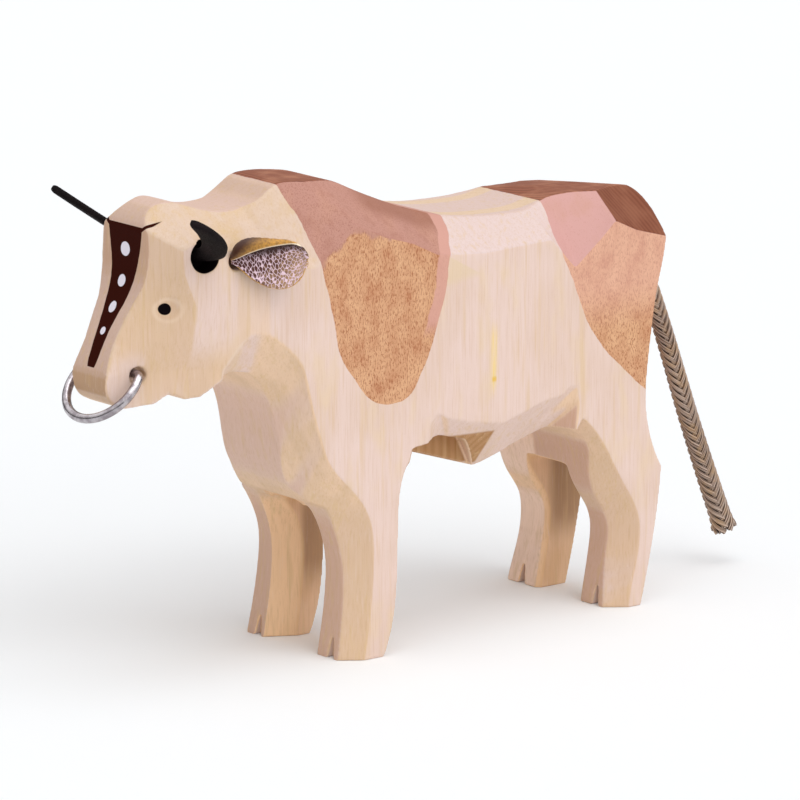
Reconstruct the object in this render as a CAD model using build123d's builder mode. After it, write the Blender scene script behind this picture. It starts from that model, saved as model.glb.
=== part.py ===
from build123d import *
import os
from math import atan2, cos, radians, sin, sqrt, tan

os.makedirs("parts", exist_ok=True)

# A carved wooden cow figurine, in millimetres. +Z is up, the head looks towards -Y, +X is its left.
# The side outlines are drawn from a point 27 mm in front of the middle between the hooves,
# and frame_shift moves them so that the origin lies under the middle of the figure.
frame_shift = 3.08
board_half = 26.5

# Wire ring. Its two ends are bent inwards and turn in a bore through the muzzle.
ring_radius = 12.6
wire_radius = 1.4
bore_radius = 1.46
ring_droop = 45.0
ring_skew = 5.5
ring_back = -95.1
ring_up = 91.0
pivot_offset = 6.2
bend_radius = 2.3
pin_gap = 2.0
nostril_radius = 2.6
nostril_bottom = 7.0
nostril_offset = 0.7

# Leather fittings and the rope tail.
horn_thick = 2.4
horn_rise = 33.2
horn_spread = 11.1
horn_root = (20.0, -72.7, 129.2)
horn_above = 0.8
horn_hole_radius = 4.6
horn_hole_bottom = 14.0
ear_thick = 1.5
ear_curl = 8.5
ear_length = 21.0
ear_back = 55.0
ear_root = (21.5, -62.0, 126.6)
ear_stem_radius = 2.2
ear_hole_radius = 2.5
ear_hole_bottom = 13.5
rope_radius = 2.9
rope_hole_radius = 3.05

# Sawn side outline, front hoof to front hoof, all (back, up).
leg_front = [(-25.1, 0), (-23.0, 12), (-21.9, 22), (-22.1, 31), (-24.8, 40.5), (-28.4, 47.4)]
chest = [(-33, 49.3), (-36.8, 54.5), (-39.8, 61.5), (-41.6, 71), (-44.1, 80), (-48.6, 87.3), (-53, 91)]
jaw = [(-53, 91), (-60, 92.4), (-66, 90.6), (-71.5, 86.3), (-75.5, 85.8), (-80, 88.0), (-84.5, 85.2),
       (-93.6, 84.5), (-97.3, 86.3)]
face = [(-97.3, 86.3), (-99.9, 89.6), (-100.3, 94.2), (-98.9, 98.5), (-96.7, 103.5), (-93.1, 110.6),
        (-90.0, 116.2), (-87.9, 121.4), (-86.8, 127.5), (-86.6, 137)]
back = [(-86.6, 137), (-82.8, 142.1), (-77, 143.9), (-69.5, 142.1), (-61, 139.7), (-51, 139.9), (-45, 142.3),
        (-39.5, 145.4), (-33.5, 145.7), (-24, 144.9), (-18, 143.8), (-12, 141), (-6, 138.3), (-1, 136.2),
        (10, 132.1), (20, 129.5), (30, 128.1), (41, 127.5), (53, 127.9), (62, 129.8), (69, 130.4), (77, 130.3),
        (91.5, 129.8)]
rump = [(91.5, 129.8), (96.4, 128.6), (99.4, 124.2), (99.8, 117.3), (99, 111), (96.3, 100), (94.0, 87),
        (92.3, 74), (91.8, 65), (93, 56), (98.3, 43)]
hind_back = [(98.3, 43), (96.1, 26), (92.8, 10), (90.3, 0)]
hind_front = [(78.7, 0), (80.3, 9), (81.9, 18), (82.3, 24.5), (81.2, 28.8), (77, 35.5), (74.3, 42),
              (73.2, 48), (71, 54.2), (67, 57.8), (62, 59.1), (56.5, 57.9), (47, 54.3), (33.5, 50.2)]
leg_back = [(3.5, 59.8), (-1.2, 58.2), (-3.8, 53.4), (-5.2, 44), (-5.6, 30), (-6.1, 19), (-8.4, 6.5), (-10.9, 0)]

# Knife cuts on the left side. Each is a pair of lines at two distances from the middle.
front_cut_in = [(-60.9, 88.7), (-58.3, 88.9), (-55.3, 88.1), (-51.4, 86.7), (-47.9, 83.6), (-44.9, 80.1),
                (-43.6, 77.6), (-42.7, 74.6), (-42.1, 71.2), (-41.8, 67.2), (-41.1, 63.2), (-39.3, 58.6),
                (-37.3, 54.7), (-36.2, 51.2), (-36, 45.5), (-33.8, 36.8), (-30.2, 29.6), (-31.5, 14.7), (-38.9, -1)]
front_cut_out = [(-69.9, 100.5), (-67.3, 106.4), (-64, 111.2), (-60.4, 112.9), (-56, 111.6), (-51.7, 108.2),
                 (-46.2, 102.6), (-42.2, 97.1), (-39.8, 90.8), (-38.3, 84.5), (-36.7, 78.5), (-34.5, 71.6),
                 (-32.3, 65.9), (-28.6, 61), (-19.7, 52.6), (-14.8, 44.2), (-13.4, 30.3), (-14.2, 15.5), (-16.5, -1)]
hind_cut_in = [(64.5, 59.5), (70.4, 50.5), (72.4, 42), (75.5, 34.5), (80, 28.2), (80.9, 24), (79.6, 13), (73.5, -1)]
hind_cut_out = [(67, 63), (76.5, 52.5), (82.4, 43.5), (87.5, 35.5), (90.5, 28.5), (91, 22), (89.4, 13), (87.5, -1)]
back_cut_in = [(-90, 141.1), (-76, 146.4), (-64, 144.1), (-52.1, 145.2), (-42.2, 155.7), (-32.9, 155.9),
               (-25.3, 150.7), (-12.8, 147.9), (-1.4, 143.4), (10, 139.2), (30.9, 138), (51.3, 138.6),
               (61.5, 146.3), (71.6, 144), (79, 140.8), (88.2, 136.8), (102, 138.6)]
back_cut_out = [(-90, 121.5), (-76, 126.4), (-64, 124.5), (-48, 122), (-36, 120), (-26, 126.8), (-20.5, 131.8),
                (-9.8, 126.9), (0, 124.1), (10, 119.2), (27.7, 117.6), (54, 118.4), (63.3, 107.2), (73.2, 115.4),
                (79.1, 121.2), (87.5, 117.3), (102, 112.8)]
belly_cut_in = [(5, 48.0), (9, 48.1), (13, 48.1), (21.7, 48.0), (35.4, 49.0), (42.7, 50.7), (50, 53),
                (54, 54.2), (56, 54.8), (57.5, 55.2)]
belly_cut_out = [(5, 71.8), (8.2, 74.6), (12.1, 72.4), (21.7, 69.6), (35.4, 67.3), (42.7, 69.4), (52.5, 72.3),
                 (60.9, 73.2), (63.9, 75.8), (66.4, 75.2)]
pocket_in = [(3, 64.5), (18, 64), (28.5, 60.2), (33.3, 50.2), (33.3, 45.6), (14, 49.6), (3.2, 58.6)]
pocket_out = [(-0.2, 62), (10, 63.8), (20, 62), (24, 59.2), (24, 45.6), (10, 49.6), (-1.5, 58.4)]

# The inner front corner of each leg is pared off, and the right side gets deeper cuts on three corners.
front_inner_in = [(-19, -1), (-16.8, 12), (-15.8, 22), (-16.1, 31), (-19.5, 40), (-25, 46)]
front_inner_out = [(-26, -1), (-23.8, 12), (-22.7, 22), (-22.9, 31), (-25.4, 40), (-29, 46)]
hind_inner_in = [(83.8, -1), (85.7, 9), (87.3, 18), (87.7, 24.5), (86.3, 29.5), (81.5, 36.5), (76.5, 43.8)]
hind_inner_out = [(77.7, -1), (79.4, 9), (81, 18), (81.4, 24.5), (80.3, 28.8), (76, 35.7), (72.8, 43.8)]
right_chest_in = [(-56, 97), (-49.5, 87.4), (-45, 80), (-42.5, 71), (-40.7, 61.5), (-37.7, 54.5), (-33.4, 47)]
right_chest_out = [(-44, 100), (-37.5, 89), (-33.6, 80), (-31.6, 71), (-29.6, 61.5), (-26.5, 54.5), (-22, 47)]
right_leg_in = [(-13.4, -1), (-11.4, 12), (-10.4, 22), (-10.8, 31), (-15, 40), (-23, 46)]
right_leg_out = [(-26, -1), (-23.8, 12), (-22.7, 22), (-22.9, 31), (-25.4, 40), (-29, 46)]
right_back_in = [(50, 132.9), (66, 132.3), (84, 131.5), (104, 128)]
right_back_out = [(50, 127.9), (66, 127.3), (84, 126.5), (104, 123)]

# Plan lines of the head's left side (out, back) with the height of each.
head_levels = [
    (80, [(7.0, -112), (7.4, -97), (10.2, -88), (14, -74), (21, -62), (24.4, -52), (26.6, -40)]),
    (95, [(8.4, -112), (8.6, -99.6), (9.7, -88), (15.2, -75.5), (21, -62), (24.4, -52), (26.6, -40)]),
    (104, [(6.7, -112), (6.8, -97), (12, -86.5), (18.2, -76), (21.2, -62), (24.4, -52), (26.6, -40)]),
    (115, [(8.5, -112), (8.7, -90.3), (14.6, -82.6), (20, -76), (21.5, -62), (24.4, -52), (26.6, -40)]),
    (125, [(10.8, -112), (10.9, -86.9), (15.6, -83.6), (20, -80.3), (21.5, -62), (24.4, -52), (26.6, -40)]),
    (150, [(9, -112), (9.2, -86.5), (13.5, -83.6), (18, -80.3), (20.5, -62), (23.4, -52), (25.5, -40)]),
]

# Rope, from the bottom of its hole to the frayed end, (back, up).
rope_route = [(92.5, 110.9), (101.5, 106.8), (110.4, 100.9), (114.5, 94.6), (117.6, 87.2), (123.3, 72.4),
              (134.8, 40.5), (147.1, 11.2)]


def side_plane(out):
    return Plane(origin=(out, frame_shift, 0), x_dir=(0, 1, 0), z_dir=(1, 0, 0))


def cross_plane(back_at):
    return Plane(origin=(0, frame_shift + back_at, 0), x_dir=(1, 0, 0), z_dir=(0, -1, 0))


# In the ring's plane the first axis runs along the bore and the second one up and back.
droop = radians(ring_droop)
skew = radians(ring_skew)
ring_side = Vector(cos(skew), sin(skew) * cos(droop), -sin(skew) * sin(droop))
ring_normal = Vector(sin(skew), -cos(skew) * cos(droop), cos(skew) * sin(droop))
ring_plane = Plane(origin=(0, frame_shift + ring_back, ring_up), x_dir=ring_side, z_dir=ring_normal)
print("ring pivot", ring_plane.from_local_coords(Vector(0, pivot_offset, 0)), "axis", ring_side)


def pivot_plane(along, behind=0.0):
    origin = ring_plane.from_local_coords(Vector(along, pivot_offset, -behind))
    return Plane(origin=origin, x_dir=ring_normal, z_dir=ring_side)


rope_start = Vector(0, frame_shift + rope_route[0][0], rope_route[0][1])
rope_first = Vector(0, rope_route[1][0] - rope_route[0][0], rope_route[1][1] - rope_route[0][1])
rope_plane = Plane(origin=rope_start, x_dir=(1, 0, 0), z_dir=rope_first)


def knife_cut(inner_out, inner_line, outer_out, outer_line, inner_rest, outer_rest, smooth=True):
    faces = []
    for out, line, rest in ((inner_out, inner_line, inner_rest), (outer_out, outer_line, outer_rest)):
        with BuildSketch(side_plane(out)) as outline:
            with BuildLine():
                if smooth:
                    Spline(*line)
                else:
                    Polyline(*line)
                Polyline(line[-1], *rest, line[0])
            make_face()
        faces.append(outline.sketch.face())
    loft(faces, ruled=True, mode=Mode.SUBTRACT)


# The left half of the block is sawn and carved, then mirrored into the whole animal.
with BuildPart() as body:
    with BuildSketch(side_plane(0)):
        with BuildLine():
            Spline(*leg_front)
            Line(leg_front[-1], chest[0])
            Spline(*chest)
            Polyline(*jaw)
            Spline(*face)
            Spline(*back)
            Spline(*rump)
            Spline(*hind_back)
            Line(hind_back[-1], hind_front[0])
            Spline(*hind_front)
            Line(hind_front[-1], leg_back[0])
            Spline(*leg_back)
            Line(leg_back[-1], leg_front[0])
        make_face()
    extrude(amount=board_half)
    # Head: the block is narrowed towards the muzzle.
    for height, line in head_levels:
        with BuildSketch(Plane(origin=(0, frame_shift, height))):
            with BuildLine():
                Polyline(*line, (40, -40), (40, -112), line[0])
            make_face()
    loft(ruled=True, mode=Mode.SUBTRACT)
    # Back, belly and the hollow in front of the belly's low point.
    knife_cut(4, back_cut_in, 28, back_cut_out, [(102, 165), (-90, 165)], [(102, 165), (-90, 165)], smooth=False)
    knife_cut(12.5, belly_cut_in, 28, belly_cut_out, [(56.5, 36), (5, 36)], [(62, 36), (5, 36)], smooth=False)
    knife_cut(12.5, pocket_in[:4], 28, pocket_out[:4], pocket_in[4:], pocket_out[4:], smooth=False)
    # Half of the gap between the front legs and half of the gap between the hind legs.
    for start, end, half, top, corner in ((-60, 20, 9.6, 47.2, 6.0), (40, 110, 9.6, 44.0, 3.0)):
        with BuildSketch(cross_plane(start)) as gap:
            with BuildLine():
                Polyline((0, -2), (half, -2), (half, top - corner))
                RadiusArc((half, top - corner), (half - corner, top), -corner)
                Polyline((half - corner, top), (0, top), (0, -2))
            make_face()
        extrude(amount=-(end - start), mode=Mode.SUBTRACT)
    # Inner front corner of the front leg and of the hind leg.
    knife_cut(8, front_inner_in, 12, front_inner_out, [(-40, 44), (-40, -1)], [(-40, 44), (-40, -1)])
    knife_cut(6, hind_inner_in, 12, hind_inner_out, [(66, 43.8), (66, -1)], [(66, 43.8), (66, -1)])
    # Cleft in the front of each hoof.
    for start, end in ((-40, -22.3), (70, 81.9)):
        with BuildSketch(cross_plane(start)):
            with BuildLine():
                Polyline((16.2, -1), (19.4, -1), (17.7, 8.5), (16.2, -1))
            make_face()
        extrude(amount=-(end - start), mode=Mode.SUBTRACT)
    # Hollow under the brow that holds the painted eye.
    with Locations((19.0, -84.7 + frame_shift, 114.6)):
        Sphere(5.5, mode=Mode.SUBTRACT)
    # Holes for the horn and the ear.
    with BuildSketch(Plane(origin=(horn_hole_bottom, frame_shift + horn_root[1], horn_root[2]),
                           x_dir=(0, 1, 0), z_dir=(1, 0, 0))):
        Circle(horn_hole_radius)
    extrude(amount=16, mode=Mode.SUBTRACT)
    with BuildSketch(Plane(origin=(ear_hole_bottom, frame_shift + ear_root[1], ear_root[2]),
                           x_dir=(0, 1, 0), z_dir=(1, 0, 0))):
        Circle(ear_hole_radius)
    extrude(amount=16, mode=Mode.SUBTRACT)
    mirror(about=Plane.YZ)
    # Bevel from the throat down the chest and the front leg, and one down the hind leg, shallower on the right.
    knife_cut(12, front_cut_in, 28, front_cut_out, [(-64, -1), (-64, 85)], [(-64, -1), (-70, 91)])
    knife_cut(-13.4, front_cut_in, -29.4, front_cut_out, [(-64, -1), (-64, 85)], [(-64, -1), (-70, 91)])
    knife_cut(18, hind_cut_in, 28, hind_cut_out, [(58, -1), (58, 50)], [(58, -1), (58, 50)])
    knife_cut(-21, hind_cut_in, -31, hind_cut_out, [(58, -1), (58, 50)], [(58, -1), (58, 50)])
    # Chest, front leg and rump were cut deeper on the right.
    knife_cut(-13, right_chest_in, -28, right_chest_out, [(-62, 47), (-62, 97)], [(-62, 47), (-62, 97)])
    knife_cut(-8, right_leg_in, -15.2, right_leg_out, [(-40, 44), (-40, -1)], [(-40, 44), (-40, -1)])
    knife_cut(14, right_back_in, -28, right_back_out, [(104, 150), (48, 150)], [(104, 150), (48, 150)], smooth=False)
    # Bore through the muzzle, with a wider nostril at each end.
    with BuildSketch(pivot_plane(-20)):
        Circle(bore_radius)
    extrude(amount=40, mode=Mode.SUBTRACT)
    for start in (-20, nostril_bottom):
        with BuildSketch(pivot_plane(start, nostril_offset)):
            Circle(nostril_radius)
        extrude(amount=20 - nostril_bottom, mode=Mode.SUBTRACT)
    # Hole for the rope in the rump.
    with BuildSketch(rope_plane):
        Circle(rope_hole_radius)
    extrude(amount=14, mode=Mode.SUBTRACT)

# The ring is one C of round wire: a loop whose ends turn in towards each other as two short pins.
with BuildPart() as nose_ring:
    fillet_out = sqrt((ring_radius - bend_radius) ** 2 - (pivot_offset - bend_radius) ** 2)
    end_angle = atan2(pivot_offset - bend_radius, fillet_out)
    loop_end = (ring_radius * cos(end_angle), ring_radius * sin(end_angle))
    bend_mid = (fillet_out + bend_radius * cos(radians(45) + end_angle / 2),
                pivot_offset - bend_radius + bend_radius * sin(radians(45) + end_angle / 2))
    with BuildLine(ring_plane) as wire:
        Line((pin_gap / 2, pivot_offset), (fillet_out, pivot_offset))
        ThreePointArc((fillet_out, pivot_offset), bend_mid, loop_end)
        ThreePointArc(loop_end, (0, -ring_radius), (-loop_end[0], loop_end[1]))
        ThreePointArc((-loop_end[0], loop_end[1]), (-bend_mid[0], bend_mid[1]), (-fillet_out, pivot_offset))
        Line((-fillet_out, pivot_offset), (-pin_gap / 2, pivot_offset))
    with BuildSketch(Plane(origin=wire.line @ 0, z_dir=wire.line % 0)):
        Circle(wire_radius)
    sweep(path=wire.line)

# Horn: a flat crescent of thick leather standing in its hole, tilted up towards the front and the side.
horn_forward = Vector(0, -cos(radians(horn_rise)), sin(radians(horn_rise)))
horn_up = Vector(-sin(radians(horn_spread)), cos(radians(horn_spread)) * sin(radians(horn_rise)),
                 cos(radians(horn_spread)) * cos(radians(horn_rise)))
horn_plane = Plane(origin=Vector(horn_root[0], horn_root[1] + frame_shift, horn_root[2]) + horn_up * horn_above,
                   x_dir=horn_up.cross(horn_forward), z_dir=-horn_up)
horn_deep = horn_hole_bottom - horn_root[0] - 1
with BuildPart() as horn_left:
    with BuildSketch(horn_plane):
        with BuildLine():
            Line((horn_deep, 3.2), (horn_deep, -3.2))
            Line((horn_deep, -3.2), (0, -3.2))
            Spline((0, -3.2), (6, -2), (10.5, 1.2), (13.6, 4.6), (16.1, 9), (17.1, 13.5), (16.8, 17.5), (15.8, 20.6),
                   tangents=[(1, 0), (-0.4, 1)])
            ThreePointArc((15.8, 20.6), (14.5, 21.5), (13.2, 20.8))
            Spline((13.2, 20.8), (12, 17), (9.9, 13), (6, 7.6), (0, 3.2), tangents=[(-0.2, -1), (-1, -0.2)])
            Line((0, 3.2), (horn_deep, 3.2))
        make_face()
    extrude(amount=horn_thick / 2, both=True)
    # The root is trimmed flat against the bottom of its hole.
    split(bisect_by=Plane(origin=(horn_hole_bottom, 0, 0), x_dir=(0, 1, 0), z_dir=(1, 0, 0)), keep=Keep.TOP)

with BuildPart() as horn_right:
    mirror(horn_left.part, about=Plane.YZ)

# Ear: a leaf of thin leather curled into a trough, with its root rolled into a stem for the hole.
ear_along = Vector(cos(radians(ear_back)), sin(radians(ear_back)), 0)
ear_facing = Vector(sin(radians(ear_back)), -cos(radians(ear_back)), 0)
ear_origin = Vector(ear_root[0], ear_root[1] + frame_shift, ear_root[2])
with BuildPart() as ear_left:
    with BuildSketch(Plane(origin=ear_origin - ear_along, x_dir=ear_facing, z_dir=ear_along)):
        with Locations((ear_curl - ear_thick / 2, 0)):
            Circle(ear_curl)
            Circle(ear_curl - ear_thick, mode=Mode.SUBTRACT)
        with Locations((ear_curl + 3.4, 0)):
            Rectangle(2 * ear_curl, 2 * ear_curl + 2, mode=Mode.SUBTRACT)
    extrude(amount=ear_length + 4)
    with BuildSketch(Plane(origin=ear_origin, x_dir=ear_along, z_dir=ear_facing)):
        with BuildLine():
            Spline((-1, -1.8), (3, -4.2), (9, -7.0), (15, -6.8), (ear_length, 0), tangents=[(1, -0.4), (0, 1)])
            Spline((ear_length, 0), (16.5, 5.6), (10, 7.2), (4, 5), (-1, 1.8), tangents=[(0, 1), (-1, -0.4)])
            Line((-1, 1.8), (-1, -1.8))
        make_face()
    extrude(amount=20, both=True, mode=Mode.INTERSECT)
    with BuildSketch(Plane(origin=(ear_hole_bottom, ear_origin.Y, ear_origin.Z), x_dir=(0, 1, 0), z_dir=(1, 0, 0))):
        Circle(ear_stem_radius)
    extrude(amount=ear_origin.X + 1.2 - ear_hole_bottom)

with BuildPart() as ear_right:
    mirror(ear_left.part, about=Plane.YZ)

# Tail: a length of rope glued in the rump that turns down at once and hangs out behind.
rope_radii = []
for before, point, after in zip(rope_route, rope_route[1:], rope_route[2:]):
    run_in = Vector(*point) - Vector(*before)
    run_out = Vector(*after) - Vector(*point)
    turn = radians(run_in.get_angle(run_out))
    rope_radii.append(0.45 * min(run_in.length, run_out.length) / tan(turn / 2))
with BuildPart() as tail_rope:
    with BuildLine(side_plane(0)) as rope_line:
        FilletPolyline(*rope_route, radius=rope_radii)
    with BuildSketch(Plane(origin=rope_line.line @ 0, x_dir=(1, 0, 0), z_dir=rope_line.line % 0)):
        Circle(rope_radius)
    sweep(path=rope_line.line)

pieces = {"body": body, "horn_left": horn_left, "horn_right": horn_right, "ear_left": ear_left,
          "ear_right": ear_right, "nose_ring": nose_ring, "tail_rope": tail_rope}
for name, piece in pieces.items():
    box = piece.part.bounding_box()
    print(name, "solids", len(piece.part.solids()), "volume", round(piece.part.volume, 1),
          "from", [round(v, 2) for v in box.min], "to", [round(v, 2) for v in box.max])
rope_length = rope_line.wires()[0].length
print("rope bend radii", [round(r, 1) for r in rope_radii], "length", round(rope_length, 1),
      "section x length", round(3.14159265 * rope_radius ** 2 * rope_length, 1))

body.part.label = "body"
export_step(body.part, "parts/body.step")
horn_left.part.label = "horn_left"
export_step(horn_left.part, "parts/horn_left.step")
horn_right.part.label = "horn_right"
export_step(horn_right.part, "parts/horn_right.step")
ear_left.part.label = "ear_left"
export_step(ear_left.part, "parts/ear_left.step")
ear_right.part.label = "ear_right"
export_step(ear_right.part, "parts/ear_right.step")
nose_ring.part.label = "nose_ring"
export_step(nose_ring.part, "parts/nose_ring.step")
tail_rope.part.label = "tail_rope"
export_step(tail_rope.part, "parts/tail_rope.step")
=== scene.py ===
import math
import random

import bmesh
import bpy
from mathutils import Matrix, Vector


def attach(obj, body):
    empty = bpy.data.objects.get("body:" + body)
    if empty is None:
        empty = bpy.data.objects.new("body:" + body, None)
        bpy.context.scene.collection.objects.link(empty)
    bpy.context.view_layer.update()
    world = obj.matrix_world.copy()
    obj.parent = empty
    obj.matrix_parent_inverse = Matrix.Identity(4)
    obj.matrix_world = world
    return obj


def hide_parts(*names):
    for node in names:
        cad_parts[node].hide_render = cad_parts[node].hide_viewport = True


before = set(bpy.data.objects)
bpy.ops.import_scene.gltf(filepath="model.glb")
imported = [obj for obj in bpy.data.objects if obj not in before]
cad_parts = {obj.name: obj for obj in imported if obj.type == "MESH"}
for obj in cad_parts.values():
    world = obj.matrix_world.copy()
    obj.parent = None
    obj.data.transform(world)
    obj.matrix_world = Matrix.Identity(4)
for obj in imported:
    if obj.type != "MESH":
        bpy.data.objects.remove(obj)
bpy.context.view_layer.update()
scene = bpy.context.scene
random.seed(7)

# the camera comes first
viewpoint = {
    "azimuth": 51.39,
    "elevation": 12.60,
    "distance": 2.2,
    "aim": (0, 0.01929, 0.07053),
    "lens": 326.7,
}


def setCamera(cfg):
    a, e = math.radians(cfg["azimuth"]), math.radians(cfg["elevation"])
    back = Vector((math.sin(a) * math.cos(e), -math.cos(a) * math.cos(e), math.sin(e)))
    data = bpy.data.cameras.new("lookFromFront")
    data.lens = cfg["lens"]
    data.sensor_width = 36
    data.clip_start, data.clip_end = 0.05, 60
    cam = bpy.data.objects.new("lookFromFront", data)
    cam.location = Vector(cfg["aim"]) + back * cfg["distance"]
    cam.rotation_mode = "QUATERNION"
    cam.rotation_quaternion = (-back).to_track_quat("-Z", "Y")
    scene.collection.objects.link(cam)
    scene.camera = cam


setCamera(viewpoint)
print("camera set")


# helpers for meshes and nodes
def addPiece(name, verts, faces, body, smooth=True, slots=None, matIds=None):
    mesh = bpy.data.meshes.new(name)
    mesh.from_pydata([tuple(v) for v in verts], [], faces)
    mesh.validate()
    obj = bpy.data.objects.new(name, mesh)
    scene.collection.objects.link(obj)
    for mat in slots or []:
        mesh.materials.append(mat)
    if matIds:
        for poly, k in zip(mesh.polygons, matIds):
            poly.material_index = k
    if smooth:
        for poly in mesh.polygons:
            poly.use_smooth = True
    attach(obj, body)
    return obj


# a piece's paint coordinates, one pair for each of its points
def layPaint(obj, name, uvs):
    layer = obj.data.uv_layers.new(name=name)
    for loop in obj.data.loops:
        layer.data[loop.index].uv = uvs[loop.vertex_index]


# count points on a smooth line through the given ones, evenly along it
def spread(points, count, perSpan=16):
    pts = [Vector(p) for p in points]
    ends = [pts[0] * 2 - pts[1]] + pts + [pts[-1] * 2 - pts[-2]]
    fine = []
    for i in range(1, len(ends) - 2):
        p0, p1, p2, p3 = ends[i - 1:i + 3]
        for k in range(perSpan):
            t = k / perSpan
            fine.append(0.5 * ((2 * p1) + (p2 - p0) * t + (2 * p0 - 5 * p1 + 4 * p2 - p3) * t * t
                               + (3 * p1 - p0 - 3 * p2 + p3) * t ** 3))
    fine.append(pts[-1])
    run = [0.0]
    for a, b in zip(fine, fine[1:]):
        run.append(run[-1] + (b - a).length)
    out, j = [], 0
    for i in range(count):
        want = run[-1] * (i / (count - 1))
        while j < len(run) - 2 and run[j + 1] < want:
            j += 1
        part = (want - run[j]) / max(run[j + 1] - run[j], 1e-12)
        out.append(fine[j].lerp(fine[j + 1], min(max(part, 0), 1)))
    return out


# a colour as it looks on screen, as the linear values that a shader takes
def tone(r, g, b, gain=1.0):
    lin = [(c / 255 / 12.92) if c < 10.3 else ((c / 255 + 0.055) / 1.055) ** 2.4 for c in (r, g, b)]
    return tuple(min(c * gain, 1.0) for c in lin) + (1.0,)


# a piece's named tones, ready for its shader
def readyTones(cfg):
    return {name: tone(*rgb) for name, rgb in cfg["tones"].items()}


def startMaterial(name):
    mat = bpy.data.materials.new(name)
    mat.use_nodes = True
    tree = mat.node_tree
    tree.nodes.clear()
    end = tree.nodes.new("ShaderNodeOutputMaterial")
    shader = tree.nodes.new("ShaderNodeBsdfPrincipled")
    tree.links.new(shader.outputs[0], end.inputs[0])
    return mat, tree, shader


def feed(tree, socket, value):
    if isinstance(value, bpy.types.NodeSocket):
        tree.links.new(value, socket)
    elif value is not None:
        socket.default_value = value


def calc(tree, how, a, b=None, c=None, clamp=False):
    node = tree.nodes.new("ShaderNodeMath")
    node.operation = how
    node.use_clamp = clamp
    for socket, value in zip(node.inputs, (a, b, c)):
        feed(tree, socket, value)
    return node.outputs[0]


def mixTones(tree, share, first, second):
    node = tree.nodes.new("ShaderNodeMix")
    node.data_type = "RGBA"
    feed(tree, node.inputs[0], share)
    feed(tree, node.inputs[6], first)
    feed(tree, node.inputs[7], second)
    return node.outputs[2]


def ramp(tree, value, low, high, to0=0.0, to1=1.0):
    node = tree.nodes.new("ShaderNodeMapRange")
    node.interpolation_type = "SMOOTHSTEP"
    for socket, v in zip(node.inputs, (value, low, high, to0, to1)):
        feed(tree, socket, v)
    return node.outputs[0]


# noise in cells of stretch = (x, y, z) millimetres
def noiseAt(tree, where, stretch, detail=3.0, rough=0.55, warp=0.0):
    scale = tree.nodes.new("ShaderNodeVectorMath")
    scale.operation = "MULTIPLY"
    feed(tree, scale.inputs[0], where)
    scale.inputs[1].default_value = tuple(1 / s for s in stretch)
    node = tree.nodes.new("ShaderNodeTexNoise")
    node.inputs["Scale"].default_value = 1.0
    node.inputs["Detail"].default_value = detail
    node.inputs["Roughness"].default_value = rough
    node.inputs["Distortion"].default_value = warp
    tree.links.new(scale.outputs[0], node.inputs["Vector"])
    return node.outputs[0]


def inMillimetres(tree):
    coord = tree.nodes.new("ShaderNodeTexCoord")
    scale = tree.nodes.new("ShaderNodeVectorMath")
    scale.operation = "SCALE"
    scale.inputs[3].default_value = 1000.0
    tree.links.new(coord.outputs["Object"], scale.inputs[0])
    return scale.outputs[0], coord


def paintCoords(tree, name):
    node = tree.nodes.new("ShaderNodeUVMap")
    node.uv_map = name
    return node.outputs[0]


def apart(tree, vector):
    node = tree.nodes.new("ShaderNodeSeparateXYZ")
    feed(tree, node.inputs[0], vector)
    return node.outputs[0], node.outputs[1], node.outputs[2]


# a smooth line value(at) through points, both in millimetres
def edgeLine(tree, at, points):
    points = sorted(points)
    x0, x1 = points[0][0], points[-1][0]
    y0, y1 = min(p[1] for p in points), max(p[1] for p in points)
    node = tree.nodes.new("ShaderNodeFloatCurve")
    curve = node.mapping.curves[0]
    node.mapping.use_clip = False
    for i, (a, b) in enumerate(points):
        u, v = (a - x0) / (x1 - x0), (b - y0) / (y1 - y0)
        if i < 2:
            curve.points[i].location = (u, v)
        else:
            curve.points.new(u, v)
    node.mapping.update()
    part = calc(tree, "DIVIDE", calc(tree, "SUBTRACT", at, x0), x1 - x0, clamp=True)
    tree.links.new(part, node.inputs[1])
    return calc(tree, "MULTIPLY_ADD", node.outputs[0], y1 - y0, y0)


def bumpFrom(tree, shader, height, strength, distance):
    node = tree.nodes.new("ShaderNodeBump")
    node.inputs["Strength"].default_value = strength
    node.inputs["Distance"].default_value = distance
    tree.links.new(height, node.inputs["Height"])
    tree.links.new(node.outputs[0], shader.inputs["Normal"])


# the braided tail
tailRope = {
    # the drawn route of the rope: (y, z), from its blind hole down to the frayed end
    "route": [(0.09558, 0.1109), (0.10458, 0.1068), (0.11348, 0.1009), (0.11758, 0.0946),
              (0.12068, 0.0872), (0.12638, 0.0724), (0.13788, 0.0405), (0.15018, 0.0112)],
    "diameter": 0.0058,
    "length": 0.1175,
    "leaves": (0, 0.1013, 0.1083),
    "perWay": 8,          # strands that turn each way
    "turn": 0.0228,       # length of one turn of a strand
    "middle": 0.00205,    # strand centres from the rope's centre
    "weave": 0.00048,     # how far a strand dips under
    "overAt": -0.41,      # where round the rope one way lies over the other
    "wide": 0.00074,
    "thick": 0.00060,
    "rim": 14,            # points round a strand
    "step": 0.00030,      # between the rings of points along a strand
    "yarnScale": 40,      # rings of points per unit of the yarn's paint
    "flute": 0.10,        # depth of the grooves between a strand's yarns
    "fray": 0.006,
    "frayed": 0.0006,     # how far the strands stand off at the very end
    "loosened": (0.98, 1.22),   # thickness at the root and at the tip, where the braid opens
    "looseYarns": 46,
    # the last of these tones is painted shade where the strands meet
    "tones": {"yarnDark": (86, 62, 48), "yarnPale": (206, 184, 168), "blotch": (176, 140, 96),
              "between": (50, 32, 24)},
}


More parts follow.
